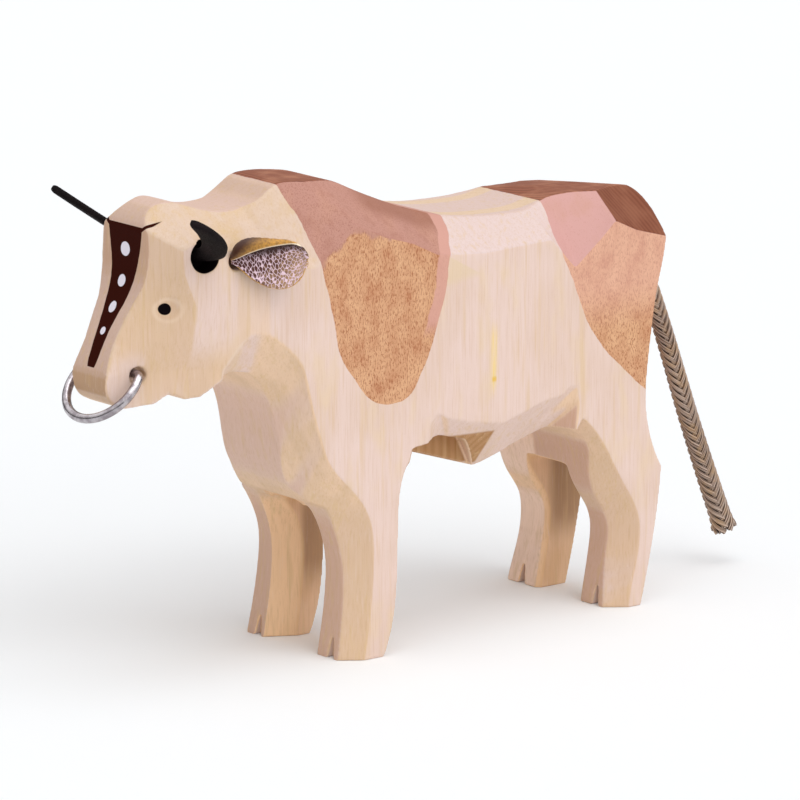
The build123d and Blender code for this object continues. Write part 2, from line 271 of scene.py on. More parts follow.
def lineOfRoute(cfg):
    data = bpy.data.curves.new("tailLine", "CURVE")
    data.dimensions = "3D"
    data.resolution_u = 40
    spline = data.splines.new("NURBS")
    spline.points.add(len(cfg["route"]) - 1)
    for point, (y, z) in zip(spline.points, cfg["route"]):
        point.co = (0, y, z, 1)
    spline.order_u = 3
    spline.use_endpoint_u = True
    holder = bpy.data.objects.new("tailLine", data)
    scene.collection.objects.link(holder)
    graph = bpy.context.evaluated_depsgraph_get()
    mesh = bpy.data.meshes.new_from_object(holder.evaluated_get(graph))
    line = [v.co.copy() for v in mesh.vertices]
    bpy.data.objects.remove(holder)
    return line


def alongLine(line):
    run = [0.0]
    for a, b in zip(line, line[1:]):
        run.append(run[-1] + (b - a).length)

    def at(s):
        s = min(max(s, 0.0), run[-1])
        i = max(k for k in range(len(run) - 1) if run[k] <= s)
        part = (s - run[i]) / max(run[i + 1] - run[i], 1e-12)
        return line[i].lerp(line[i + 1], part), (line[i + 1] - line[i]).normalized()
    return at, run[-1]


# one strand or yarn: a fluted tube that lies flat on the rope, added to the mesh so far
def addTube(cfg, mesh, centres, outs, wide, thick, lobes):
    verts, faces, uvs = mesh
    rim, n = cfg["rim"], len(centres)
    base = len(verts)
    for i, (c, o) in enumerate(zip(centres, outs)):
        t = (centres[min(i + 1, n - 1)] - centres[max(i - 1, 0)]).normalized()
        across = t.cross(o).normalized()
        outward = across.cross(t).normalized()
        for k in range(rim):
            ang = 2 * math.pi * k / rim
            flute = 1 + cfg["flute"] * math.cos(lobes * ang)
            p = c + across * math.cos(ang) * wide[i] * flute
            p = p + outward * math.sin(ang) * thick[i] * flute
            verts.append(p)
            uvs.append((k / rim, i / cfg["yarnScale"]))
    for i in range(n - 1):
        for k in range(rim):
            q = (k + 1) % rim
            a, b = base + i * rim, base + (i + 1) * rim
            faces.append((a + k, a + q, b + q, b + k))
    faces.append(tuple(base + k for k in reversed(range(rim))))
    faces.append(tuple(base + (n - 1) * rim + k for k in range(rim)))


# half of the strands turn one way and half the other, each over and under the ones it meets
def braidStrands(cfg, mesh, at, total):
    side = Vector((1, 0, 0))
    steps = int(total / cfg["step"])
    first, last = cfg["loosened"]
    for way in (1, -1):
        for strand in range(cfg["perWay"]):
            centres, outs, wide, thick = [], [], [], []
            for i in range(steps + 1):
                s = total * i / steps
                grown = first + (last - first) * (i / steps) ** 1.5
                c, t = at(s)
                up = t.cross(side)
                turn = way * 2 * math.pi * s / cfg["turn"] + strand * 2 * math.pi / cfg["perWay"]
                out = side * math.cos(turn) + up * math.sin(turn)
                loose = max(0.0, (s - total + cfg["fray"]) / cfg["fray"])
                lift = cfg["weave"] * math.cos(2 * (turn - cfg["overAt"])) * way
                r = (cfg["middle"] + lift) * grown + cfg["frayed"] * loose ** 2
                centres.append(c + out * r)
                outs.append(out)
                wide.append(cfg["wide"] * grown)
                thick.append(cfg["thick"] * grown)
            addTube(cfg, mesh, centres, outs, wide, thick, lobes=5)


# loose yarns at the cut end
def addLooseYarns(cfg, mesh, at, total):
    side = Vector((1, 0, 0))
    points = 9
    for _ in range(cfg["looseYarns"]):
        turn = random.uniform(0, 2 * math.pi)
        r0 = random.uniform(0.0006, 0.0024)
        flare = random.uniform(0.2, 1.0)
        reachOut = random.uniform(0.0, 0.0028) * flare
        start = total - random.uniform(0.004, 0.007)
        stop = total + random.uniform(-0.0008, 0.0009)
        centres, outs = [], []
        for i in range(points):
            part = i / (points - 1)
            s = start + (stop - start) * part
            c, t = at(s)
            c = c + t * max(0.0, s - total)
            up = t.cross(side)
            out = side * math.cos(turn + part * 0.5) + up * math.sin(turn + part * 0.5)
            centres.append(c + out * (r0 + reachOut * part ** 1.6))
            outs.append(out)
        size = random.uniform(0.00026, 0.00042)
        addTube(cfg, mesh, centres, outs, [size] * points, [size] * points, lobes=3)


def ropeMesh(cfg, line):
    at, total = alongLine(line)
    mesh = [], [], []
    braidStrands(cfg, mesh, at, total)
    addLooseYarns(cfg, mesh, at, total)
    return mesh


def ropeMaterial(cfg):
    mat, tree, shader = startMaterial("hempTail")
    tones = readyTones(cfg)
    uv = paintCoords(tree, "yarn")
    where, _ = inMillimetres(tree)
    yarn = noiseAt(tree, uv, (0.07, 3.0, 1), 3.0, 0.6)
    blotch = noiseAt(tree, where, (3.5, 3.5, 3.5), 2.0)
    roundStrand, _, _ = apart(tree, uv)
    outward = calc(tree, "SINE", calc(tree, "MULTIPLY", roundStrand, 2 * math.pi))
    colour = mixTones(tree, ramp(tree, yarn, 0.35, 0.66), tones["yarnDark"], tones["yarnPale"])
    blotched = mixTones(tree, 0.5, colour, tones["blotch"])
    colour = mixTones(tree, ramp(tree, blotch, 0.4, 0.7), colour, blotched)
    # painted shade: each strand is darkened on its side towards the rope's core, where the strands meet
    colour = mixTones(tree, ramp(tree, outward, -0.1, 0.75), tones["between"], colour)
    tree.links.new(colour, shader.inputs["Base Color"])
    shader.inputs["Roughness"].default_value = 0.85
    bumpFrom(tree, shader, yarn, 0.5, 0.0002)
    return mat


routeLine = lineOfRoute(tailRope)
verts, faces, uvs = ropeMesh(tailRope, routeLine)
tail = addPiece("braidedTail", verts, faces, "body", slots=[ropeMaterial(tailRope)])
layPaint(tail, "yarn", uvs)
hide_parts("tail_rope")
print("tail braided")


# the carved body: the same planes with edges rubbed down, one wood with stained marks
carvedBody = {
    "weld": 2e-5,
    "cell": 0.0004,         # size of the even mesh's cells
    "rubs": 12,             # rounds of smoothing that rub the edges down
    "kept": 0.25,           # share of the even mesh's faces that its shape needs
    "sideGain": 0.92,
    "cutGain": 0.95,
    "grainGain": 0.90,
    "tones": {
        # bare wood, by where it faces
        "pale": (229, 202, 188), "side": (233, 207, 196), "sideCloud": (232, 205, 168),
        "frontCut": (217, 179, 156), "chest": (226, 193, 175), "farRumpLit": (252, 220, 198),
        "headFront": (204, 166, 141), "muzzle": (194, 156, 123),
        "slant": (236, 203, 172), "slantLow": (223, 191, 163), "slantCloud": (222, 190, 157),
        "farSlantLit": (248, 208, 166),
        "bevel": (228, 206, 203), "bevelAhead": (226, 200, 178), "bevelCloud": (222, 190, 148),
        "poll": (211, 180, 165), "headTop": (219, 188, 174), "top": (222, 196, 188),
        "topBand": (228, 200, 172),
        # the deepest gap tone and the two pocket tones below are painted shade
        "gap": (236, 194, 152), "gapCloud": (222, 178, 132), "gapDeepShade": (160, 116, 64),
        "pocketShade": (178, 134, 90), "pocketShadeRings": (166, 120, 74),
        "fibre": (206, 164, 120), "streak": (224, 190, 140), "whiteFibre": (240, 222, 222),
        "rings": (205, 165, 125), "resin": (236, 206, 120), "knot": (222, 178, 60),
        "wedge": (226, 202, 162),
        # stain on the flat sides, on the bevels and on top
        "orange": (198, 144, 106), "orangeDark": (154, 86, 48), "orangeLight": (216, 168, 128),
        "orangePatch": (166, 98, 60), "rumpOrange": (228, 176, 160),
        "pink": (187, 137, 122), "rumpPink": (206, 157, 150), "pinkSpeck": (166, 104, 84),
        "pinkCloud": (196, 146, 122), "pinkStroke": (150, 92, 72), "pinkPatch": (166, 112, 94),
        "pinkRidge": (150, 98, 78),
        "soak": (150, 88, 62), "soakDark": (112, 57, 34), "soakLight": (188, 128, 98),
        "soakRear": (112, 56, 30), "margin": (208, 156, 142), "grit": (120, 80, 60),
        # face
        "strip": (52, 14, 6), "stripDot": (232, 226, 236), "eyeHollowShade": (198, 160, 128),
        "eyeRimHighlight": (244, 222, 200), "black": (12, 6, 9),
    },
    # front and rear edge of the shoulder mark, (height, y)
    "markFront": [(77.3, -6.5), (77.7, -8.4), (79.6, -12.8), (82.7, -16.0), (87.0, -19.2), (91.9, -23.0),
                  (96.9, -25.1), (104.4, -26.4), (109.4, -27.8), (113.8, -28.8), (118.7, -30.4),
                  (124.4, -31.7), (132.3, -32.8), (136.8, -33.4), (140.5, -35.0), (145.5, -36.3)],
    "markRear": [(77.3, -5.5), (77.7, -0.8), (80.8, 3.6), (85.3, 6.3), (90.2, 9.1), (97.2, 11.8),
                 (102.2, 13.4), (107.6, 15.3), (112.7, 16.4), (118.3, 17.0), (122.6, 19.5),
                 (125.9, 22.2), (128.0, 22.8), (146.0, 23.4)],
    "markLow": 77.3,
    "rumpFront": [(66.0, 98.0), (68.9, 93.4), (70.2, 91.7), (73.4, 88.2), (77.6, 83.6), (81.8, 78.9),
                  (86.8, 74.9), (92.7, 70.9), (98.8, 68.2), (103.8, 66.2), (108.8, 64.0), (113.9, 61.4),
                  (119.0, 60.6), (122.9, 61.6), (127.1, 62.2), (129.5, 61.8), (140.0, 61.8)],
    "rumpLow": 66.5,
    "rumpRear": 82.2,
    # on the shoulder the pinker stain runs below the crease, down to (y, height)
    "pinkLow": [(-36.0, 116.0), (-30.0, 122.5), (-24.0, 127.0), (-18.0, 131.0), (-10.0, 127.8),
                (0.0, 126.6), (12.0, 127.0), (24.0, 128.0), (40.0, 140.0)],
    # half the width of the strip down the face, (height, half width), and its dots, (height, radius)
    "stripHalf": [(96.2, 0.6), (97.4, 1.9), (102.0, 2.4), (107.6, 2.9), (111.0, 3.5), (115.9, 4.6),
                  (120.7, 5.4), (125.1, 6.1), (131.4, 7.3), (136.9, 8.1), (140.0, 8.3)],
    "stripEnds": (96.6, 137.6),
    "stripDots": [(130.3, 2.15), (121.0, 1.75), (113.6, 1.55), (106.9, 1.1)],
    # round black marks on both sides of the head, the painted eye and painted shade deep in the horn
    # holes: (y, height, radius, least distance from the middle)
    "eye": (-79.9, 114.0, 1.75, 11.0),
    "hornHoleShade": (-69.62, 129.2, 4.9, 13.0),
}


def softBody(cfg):
    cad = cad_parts["body"]
    bm = bmesh.new()
    bm.from_mesh(cad.data)
    bmesh.ops.remove_doubles(bm, verts=bm.verts, dist=cfg["weld"])
    mesh = bpy.data.meshes.new("carvedBody")
    bm.to_mesh(mesh)
    bm.free()
    obj = bpy.data.objects.new("carvedBody", mesh)
    scene.collection.objects.link(obj)
    cells = obj.modifiers.new("evenMesh", "REMESH")
    cells.mode = "VOXEL"
    cells.voxel_size = cfg["cell"]
    cells.use_smooth_shade = True
    rub = obj.modifiers.new("rubbedEdges", "SMOOTH")
    rub.factor = 0.5
    rub.iterations = cfg["rubs"]
    fewer = obj.modifiers.new("fewerFaces", "DECIMATE")
    fewer.ratio = cfg["kept"]
    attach(obj, "body")
    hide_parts("body")
    return obj


# soft shares from 0 to 1 in one node tree
def shareTools(tree):
    def times(*parts):
        total = parts[0]
        for part in parts[1:]:
            total = calc(tree, "MULTIPLY", total, part)
        return total

    def inside(value, softness=0.12):
        return ramp(tree, value, -softness, softness)

    def between(value, low, high, softness=0.5):
        return times(ramp(tree, value, low - softness, low + softness),
                     ramp(tree, value, high + softness, high - softness))

    def minus(share):
        return calc(tree, "SUBTRACT", 1.0, share)

    def over(share, first, second):
        return mixTones(tree, share, first, second)
    return times, inside, between, minus, over


# places in millimetres, facings and grains that the wood's coats share
def woodPlaces(tree):
    times = shareTools(tree)[0]
    where, coord = inMillimetres(tree)
    x, y, z = apart(tree, where)
    nx, ny, nz = apart(tree, coord.outputs["Normal"])
    # growth rings round an axis that runs up the block, fibres that run up and down
    bend = noiseAt(tree, where, (22, 22, 60), 2.0)
    ringX = calc(tree, "SUBTRACT", x, 70.0)
    ringY = calc(tree, "SUBTRACT", y, -46.0)
    far = calc(tree, "SQRT", calc(tree, "ADD", times(ringX, ringX), times(ringY, ringY)))
    far = calc(tree, "MULTIPLY_ADD", bend, 6.0, far)
    return {
        "where": where, "x": x, "y": y, "z": z, "across": calc(tree, "ABSOLUTE", x),
        "nx": calc(tree, "ABSOLUTE", nx), "ny": ny, "nz": nz, "flatTop": ramp(tree, nz, 0.86, 0.95),
        "far": far, "fibre": noiseAt(tree, where, (0.5, 0.5, 14.0), 4.0, 0.6),
        "cloud": noiseAt(tree, where, (9, 9, 20), 3.0),
        "wander": calc(tree, "MULTIPLY_ADD", noiseAt(tree, where, (2.5, 2.5, 2.5), 2.0), 0.7, -0.35),
    }


def bareWood(tree, cfg, at):
    times, inside, between, minus, over = shareTools(tree)
    x, y, z, across = at["x"], at["y"], at["z"], at["across"]
    nx, ny, nz, flatTop = at["nx"], at["ny"], at["nz"], at["flatTop"]
    fibre, cloud = at["fibre"], at["cloud"]
    streak = noiseAt(tree, at["where"], (1.7, 1.7, 30.0), 2.0)
    broad = noiseAt(tree, at["where"], (24, 26, 34), 2.0)
    rings = ramp(tree, calc(tree, "SINE", calc(tree, "MULTIPLY", at["far"], 2.4)), -0.9, 1.0)
    sideGain, cutGain, grainGain = cfg["sideGain"], cfg["cutGain"], cfg["grainGain"]

    def shade(name, gain=1.0):
        return tone(*cfg["tones"][name], gain)

    pale = over(ramp(tree, broad, 0.40, 0.62), shade("side", sideGain), shade("pale", sideGain))
    pale = over(times(ramp(tree, cloud, 0.5, 0.75), 0.55), pale, shade("sideCloud", sideGain))

    # faces cut square across the front, by chest, head and far side
    ahead = calc(tree, "MULTIPLY", ny, -1.0)
    square = ramp(tree, ahead, 0.80, 0.93)
    chest = times(between(z, 46.5, 94.0), between(y, -60.0, -24.0, 1.0))
    frontCut = over(chest, shade("frontCut", cutGain), shade("chest", cutGain))
    onHead = ramp(tree, y, -66.0, -76.0)
    muzzle = times(ramp(tree, z, 105.0, 94.0), onHead)
    headFront = over(muzzle, shade("headFront", cutGain), shade("muzzle", cutGain))
    frontCut = over(onHead, frontCut, headFront)
    farSide = ramp(tree, x, -4.0, -6.0)
    # painted light: front faces at the far side's rear are coloured paler, as if better lit
    frontCut = over(times(ramp(tree, y, 58.0, 62.0), farSide), frontCut, shade("farRumpLit", cutGain))

    # bevels that slant forward
    slanted = times(ramp(tree, ahead, 0.16, 0.42), minus(square))
    low = calc(tree, "MAXIMUM", ramp(tree, z, 51.0, 44.0), ramp(tree, y, -60.0, -68.0))
    slant = over(low, shade("slant", cutGain), shade("slantLow", cutGain))
    slant = over(times(ramp(tree, cloud, 0.38, 0.66), 0.8), slant, shade("slantCloud", cutGain))
    # painted light: low slanted faces on the far side are coloured paler, as if better lit
    slant = over(times(farSide, ramp(tree, z, 46.0, 42.0)), slant, shade("farSlantLit", cutGain))
    wood = over(square, pale, frontCut)
    wood = over(slanted, wood, slant)

    # bevels that slant up, and the flat top
    bevelTop = times(ramp(tree, nz, 0.12, 0.35), minus(flatTop))
    forward = ramp(tree, y, -27.0, -36.0)
    bevelAhead = over(ramp(tree, cloud, 0.42, 0.70), shade("bevelAhead", sideGain),
                      shade("bevelCloud", sideGain))
    bevel = over(forward, shade("bevel", sideGain), bevelAhead)
    bevel = over(ramp(tree, nx, 0.35, 0.2), bevel, shade("poll"))
    wood = over(times(bevelTop, 0.8), wood, bevel)
    topBand = times(flatTop, between(across, 8.0, 13.6, 0.6), between(y, 22.0, 66.0, 4.0))
    topTone = over(forward, shade("top"), shade("headTop"))
    wood = over(flatTop, wood, over(topBand, topTone, shade("topBand")))

    # walls of the gaps between the legs, darkened by painted shade higher up between them, and the pocket
    # cut under the belly, coloured as painted shade
    gap = times(ramp(tree, across, 10.6, 9.2), ramp(tree, z, 48.5, 46.5),
                minus(ramp(tree, ahead, 0.75, 0.9)))
    midLegs = times(ramp(tree, y, -13.0, -9.0), ramp(tree, y, 40.0, 30.0))
    deepShade = times(calc(tree, "MAXIMUM", ramp(tree, y, 84.0, 90.0), midLegs), ramp(tree, z, 11.0, 24.0))
    gapTone = over(ramp(tree, cloud, 0.4, 0.65), shade("gap"), shade("gapCloud"))
    wood = over(gap, wood, over(deepShade, gapTone, shade("gapDeepShade")))
    sideways = ramp(tree, nx, 0.93, 0.985)
    # painted shade: the pocket's faces under the flank's overhang are coloured darker
    pocketShade = times(minus(sideways), between(y, 1.0, 36.5), between(z, 51.5, 63.0),
                   ramp(tree, nz, 0.1, -0.1), ramp(tree, ny, -0.45, -0.2))
    pocketWall = times(sideways, ramp(tree, across, 24.6, 23.8), between(y, 1.0, 37.5),
                       between(z, 51.5, 63.0))
    pocketShade = calc(tree, "MAXIMUM", pocketShade, pocketWall)
    wood = over(pocketShade, wood, over(rings, shade("pocketShade"), shade("pocketShadeRings")))

    # fibres, streaks and rings over all of it
    wood = over(times(ramp(tree, fibre, 0.47, 0.72), 0.30), wood, shade("fibre", grainGain))
    wood = over(times(ramp(tree, streak, 0.52, 0.72), 0.38), wood, shade("streak", grainGain))
    wood = over(times(ramp(tree, fibre, 0.42, 0.26), 0.25), wood, shade("whiteFibre", sideGain))
    wood = over(times(rings, 0.05), wood, shade("rings", grainGain))

    # resin streak, a small knot and a yellower wedge of grain on the left flank
    facing = ramp(tree, x, 25.0, 26.0)
    resin = times(between(y, 33.4, 35.4, 1.0), between(z, 76.5, 95.0, 4.0),
                  ramp(tree, fibre, 0.30, 0.56), facing)
    wood = over(times(resin, 0.75), wood, shade("resin"))
    knot = times(between(y, 33.7, 35.3, 0.4), between(z, 78.8, 80.2, 0.5), facing)
    wood = over(times(knot, 0.8), wood, shade("knot"))
    underTop = calc(tree, "SUBTRACT", calc(tree, "MULTIPLY_ADD", y, -0.55, 128.7), z)
    overLow = calc(tree, "SUBTRACT", z, calc(tree, "MULTIPLY_ADD", y, 0.14, 108.6))
    wedge = times(inside(underTop, 0.4), inside(overLow, 1.5), ramp(tree, y, 14.0, 15.0), facing)
    return over(times(wedge, 0.5), wood, shade("wedge", sideGain))


# stain: orange on the flat sides, pinker on the bevels, dark where it soaks into the top
def coatStain(tree, cfg, at):
    times, _, _, minus, over = shareTools(tree)
    y, z, where, cloud = at["y"], at["z"], at["where"], at["cloud"]
    strokes = noiseAt(tree, where, (0.34, 0.38, 1.1), 3.0, 0.6, 0.6)
    patchy = noiseAt(tree, where, (5, 5, 8), 4.0, 0.6)
    speckle = noiseAt(tree, where, (0.4, 0.45, 0.8), 3.0, 0.7)
    stroked = ramp(tree, strokes, 0.50, 0.62)
    toRump = ramp(tree, y, 40.0, 50.0)
    notRump = minus(toRump)
    tones = readyTones(cfg)

    orange = over(ramp(tree, patchy, 0.30, 0.72), tones["orange"], tones["orangeLight"])
    orange = over(times(stroked, 0.75), orange, tones["orangeDark"])
    blots = times(ramp(tree, patchy, 0.46, 0.30), ramp(tree, speckle, 0.4, 0.6), 0.8)
    orange = over(blots, orange, tones["orangePatch"])
    orange = over(times(toRump, ramp(tree, z, 86.0, 104.0), 0.45), orange, tones["rumpOrange"])

    pink = over(toRump, tones["pink"], tones["rumpPink"])
    pink = over(times(ramp(tree, speckle, 0.55, 0.75), 0.35), pink, tones["pinkSpeck"])
    pink = over(times(ramp(tree, cloud, 0.48, 0.7), 0.35), pink, tones["pinkCloud"])
    pink = over(times(stroked, notRump, 0.45), pink, tones["pinkStroke"])
    pink = over(times(ramp(tree, patchy, 0.50, 0.64), notRump, 0.4), pink, tones["pinkPatch"])
    byRidge = times(ramp(tree, at["across"], 21.0, 16.0), ramp(tree, y, -14.0, -4.0), notRump)
    pink = over(times(byRidge, 0.7), pink, tones["pinkRidge"])

    grain = ramp(tree, calc(tree, "SINE", calc(tree, "MULTIPLY", at["far"], 3.4)), -0.6, 0.9)
    soaked = over(grain, tones["soak"], tones["soakDark"])
    soaked = over(times(ramp(tree, cloud, 0.4, 0.7), 0.55), soaked, tones["soakLight"])

    sloping = ramp(tree, at["nz"], 0.2, 0.35)
    ragged = calc(tree, "MULTIPLY_ADD", patchy, -9.0, calc(tree, "ADD", z, 4.5))
    lower = ramp(tree, calc(tree, "SUBTRACT", ragged, edgeLine(tree, y, cfg["pinkLow"])), -0.9, 0.9)
    stain = over(calc(tree, "MAXIMUM", sloping, times(lower, notRump, 0.9)), orange, pink)
    rearFacet = ramp(tree, y, cfg["rumpRear"] - 0.2, cfg["rumpRear"] + 0.2)
    stain = over(times(sloping, rearFacet), stain, over(0.65, soaked, tones["soakRear"]))
    return over(at["flatTop"], stain, soaked)


# the shoulder and rump marks, with edges that wander a little
def coatMarks(tree, cfg, at, wood):
    times, inside, _, _, over = shareTools(tree)
    y, z, wander = at["y"], at["z"], at["wander"]
    tones = readyTones(cfg)
    stain = coatStain(tree, cfg, at)
    yy = calc(tree, "ADD", y, wander)
    rearEdge = edgeLine(tree, z, cfg["markRear"])
    front = inside(calc(tree, "SUBTRACT", yy, edgeLine(tree, z, cfg["markFront"])))
    rear = inside(calc(tree, "SUBTRACT", rearEdge, yy))
    shoulder = times(front, rear, inside(calc(tree, "SUBTRACT", z, cfg["markLow"])))
    rump = inside(calc(tree, "SUBTRACT", yy, edgeLine(tree, z, cfg["rumpFront"])))
    rump = times(rump, inside(calc(tree, "SUBTRACT", z, cfg["rumpLow"])))
    # a smooth paler margin runs along the rear edge of the shoulder mark
    fromRear = calc(tree, "SUBTRACT", rearEdge, calc(tree, "MULTIPLY_ADD", wander, 2.0, y))
    margin = times(ramp(tree, fromRear, 4.6, 4.1), ramp(tree, z, 95.0, 101.0), shoulder)
    stain = over(times(margin, 0.85), stain, tones["margin"])
    colour = over(calc(tree, "MAXIMUM", shoulder, rump), wood, stain)
    grit = noiseAt(tree, at["where"], (0.35, 0.35, 0.5), 2.0)
    return over(times(ramp(tree, grit, 0.6, 0.8), 0.12), colour, tones["grit"])


# the strip with its dots, the eye and the painted shade in the horn holes, and how black each place is
def faceMarks(tree, cfg, at, colour):
    times, inside, between, _, over = shareTools(tree)
    x, y, z, across = at["x"], at["y"], at["z"], at["across"]
    wander, tones = at["wander"], readyTones(cfg)

    def distance(a, b):
        return calc(tree, "SQRT", calc(tree, "ADD", times(a, a), times(b, b)))

    # dark strip down the face with its white dots, and the two thin ties at its top
    onFace = ramp(tree, y, -79.0, -80.0)
    fromMiddle = calc(tree, "MULTIPLY_ADD", wander, 0.5, across)
    strip = inside(calc(tree, "SUBTRACT", edgeLine(tree, z, cfg["stripHalf"]), fromMiddle), 0.1)
    strip = times(strip, between(z, *cfg["stripEnds"], 0.1), onFace)
    tieAt = calc(tree, "SUBTRACT", calc(tree, "MULTIPLY_ADD", across, 0.73, 131.1), z)
    ties = times(between(tieAt, -0.65, 0.65, 0.12), between(across, 7.0, 10.4, 0.15),
                 ramp(tree, y, -77.0, -79.0))
    strip = calc(tree, "MAXIMUM", strip, ties)
    colour = over(strip, colour, tones["strip"])
    for height, radius in cfg["stripDots"]:
        off = distance(calc(tree, "SUBTRACT", z, height), x)
        off = calc(tree, "MULTIPLY_ADD", wander, 0.5, off)
        dot = times(inside(calc(tree, "SUBTRACT", radius, off), 0.1), onFace)
        colour = over(dot, colour, tones["stripDot"])

    # the eye sits in an almond hollow, darkened by painted shade, with a painted highlight on its paler
    # rim
    almond = distance(calc(tree, "ADD", y, 79.2), calc(tree, "SUBTRACT", z, 113.6))
    side = ramp(tree, across, 11.0, 12.0)
    colour = over(times(ramp(tree, almond, 3.6, 2.0), side, 0.22), colour, tones["eyeHollowShade"])
    rim = times(between(almond, 2.9, 3.7, 0.7), side, ramp(tree, at["cloud"], 0.3, 0.7), 0.4)
    colour = over(rim, colour, tones["eyeRimHighlight"])

    # burnt dot of the eye, and painted shade: black deep in the horn holes round the horns' roots
    black = strip
    for cy, cz, radius, least in (cfg["eye"], cfg["hornHoleShade"]):
        off = distance(calc(tree, "SUBTRACT", y, cy), calc(tree, "SUBTRACT", z, cz))
        dot = times(inside(calc(tree, "SUBTRACT", radius, off), 0.1),
                    inside(calc(tree, "SUBTRACT", across, least), 0.5))
        colour = over(dot, colour, tones["black"])
        black = calc(tree, "MAXIMUM", black, dot)
    return colour, black


def woodMaterial(cfg):
    mat, tree, shader = startMaterial("stainedLime")
    at = woodPlaces(tree)
    colour = coatMarks(tree, cfg, at, bareWood(tree, cfg, at))
    colour, black = faceMarks(tree, cfg, at, colour)
    tree.links.new(colour, shader.inputs["Base Color"])
    shader.inputs["Roughness"].default_value = 0.68
    tree.links.new(calc(tree, "MULTIPLY_ADD", black, -0.32, 0.35), shader.inputs["Specular IOR Level"])
    bumpFrom(tree, shader, at["fibre"], 0.15, 0.0003)
    return mat


body = softBody(carvedBody)
body.data.materials.clear()
body.data.materials.append(woodMaterial(carvedBody))
print("body carved and stained")


# horns: two flat claws cut from thick black leather
hornShape = {
    "root": (0.020, -0.06962, 0.1292),
    "lift": 0.0008,
    "up": (-0.1925, 0.5373, 0.8211),
    "forward": (0, -0.8368, 0.5476),
    "thickness": 0.0024,
    "squareness": 0.55,     # 1 is a round section, less is a squarer one
    "thinned": 0.12,        # how much thinner its long edges are
    "cup": 0.35,            # how deep the leather is cupped, in millimetres
    "holeFloor": 0.0141,    # the root goes no nearer to the middle than this
    "tipRows": 7,           # rows over which the tip closes
    "tipReach": 6.35,       # in rows, where it would be closed
    "tipThick": 0.35,
    "rim": 28,
    # its two long edges as (outwards, forwards) from the root, in millimetres
    "outer": [(-6.2, -3.0), (0, -3.2), (6, -2), (10.5, 1.2), (13.6, 4.6), (16.1, 9), (17.1, 13.5),
              (16.8, 17.5), (15.6, 20.8)],
    "inner": [(-6.2, 3.0), (0, 3.2), (6, 7.6), (9.9, 13), (12, 17), (13.3, 20.6)],
    "stations": 44,
    "tones": {"leather": (12, 6, 7), "worn": (24, 14, 15)},
}


def hornMesh(cfg, sign):
    up = Vector(cfg["up"]).normalized()
    forward = Vector(cfg["forward"]).normalized()
    out = up.cross(forward).normalized()
    root = Vector(cfg["root"]) + up * cfg["lift"]
    n = cfg["stations"]
    outer = spread([(a, b, 0) for a, b in cfg["outer"]], n)
    inner = spread([(a, b, 0) for a, b in cfg["inner"]], n)
    half = cfg["thickness"] / 2
    rim = cfg["rim"]
    verts, faces = [], []
    for i in range(n):
        t = i / (n - 1)
        a, b = outer[i], inner[i]
        mid, wide = (a + b) / 2, (b - a) / 2
        intoTip = max(0, i - (n - cfg["tipRows"]))
        shrink = math.sqrt(max(0.0, 1 - (intoTip / cfg["tipReach"]) ** 2))
        wide = wide * shrink
        tip = cfg["tipThick"]
        thick = half * 1000 * (tip + (1 - tip) * min(1, shrink * 1.3))
        for k in range(rim):
            ang = 2 * math.pi * k / rim
            c, s = math.cos(ang), math.sin(ang)
            # a rounded slab, fuller in the middle than at its edges
            u = math.copysign(abs(c) ** cfg["squareness"], c)
            v = math.copysign(abs(s) ** cfg["squareness"], s)
            v = v * (1 - cfg["thinned"] * u * u)
            p = mid + wide * u
            lift = v * thick + cfg["cup"] * math.sin(math.pi * t) * (u * u - 0.4)
            q = root + out * p.x / 1000 + forward * p.y / 1000 + up * lift / 1000
            q = Vector((max(q.x, cfg["holeFloor"]), q.y, q.z))
            verts.append(Vector((q.x * sign, q.y, q.z)))
    for i in range(n - 1):
        for k in range(rim):
            q = (k + 1) % rim
            f = (i * rim + k, i * rim + q, (i + 1) * rim + q, (i + 1) * rim + k)
            faces.append(f if sign < 0 else f[::-1])
    first = tuple(range(rim))
    last = tuple((n - 1) * rim + k for k in range(rim))
    faces.append(first[::-1] if sign < 0 else first)
    faces.append(last if sign < 0 else last[::-1])
    return verts, faces


def hornMaterial(cfg):
    mat, tree, shader = startMaterial("blackLeather")
    tones = readyTones(cfg)
    where, _ = inMillimetres(tree)
    pebble = tree.nodes.new("ShaderNodeTexVoronoi")
    pebble.feature = "DISTANCE_TO_EDGE"
    pebble.inputs["Scale"].default_value = 1.9
    tree.links.new(where, pebble.inputs["Vector"])
    worn = noiseAt(tree, where, (5, 5, 5), 4.0)
    fine = noiseAt(tree, where, (0.5, 0.5, 0.5), 3.0)
    colour = mixTones(tree, ramp(tree, worn, 0.4, 0.7), tones["leather"], tones["worn"])
    tree.links.new(colour, shader.inputs["Base Color"])
    tree.links.new(ramp(tree, fine, 0.3, 0.7, 0.7, 0.9), shader.inputs["Roughness"])
    shader.inputs["Specular IOR Level"].default_value = 0.15
    bumpFrom(tree, shader, ramp(tree, pebble.outputs[0], 0.0, 0.12), 0.3, 0.0001)
    return mat


hornLeather = hornMaterial(hornShape)
for name, sign in (("horn_left", 1), ("horn_right", -1)):
    verts, faces = hornMesh(hornShape, sign)
    horn = addPiece(name.replace("horn_", "leatherHorn_"), verts, faces, "body", slots=[hornLeather])
    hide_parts(name)
print("horns cut")


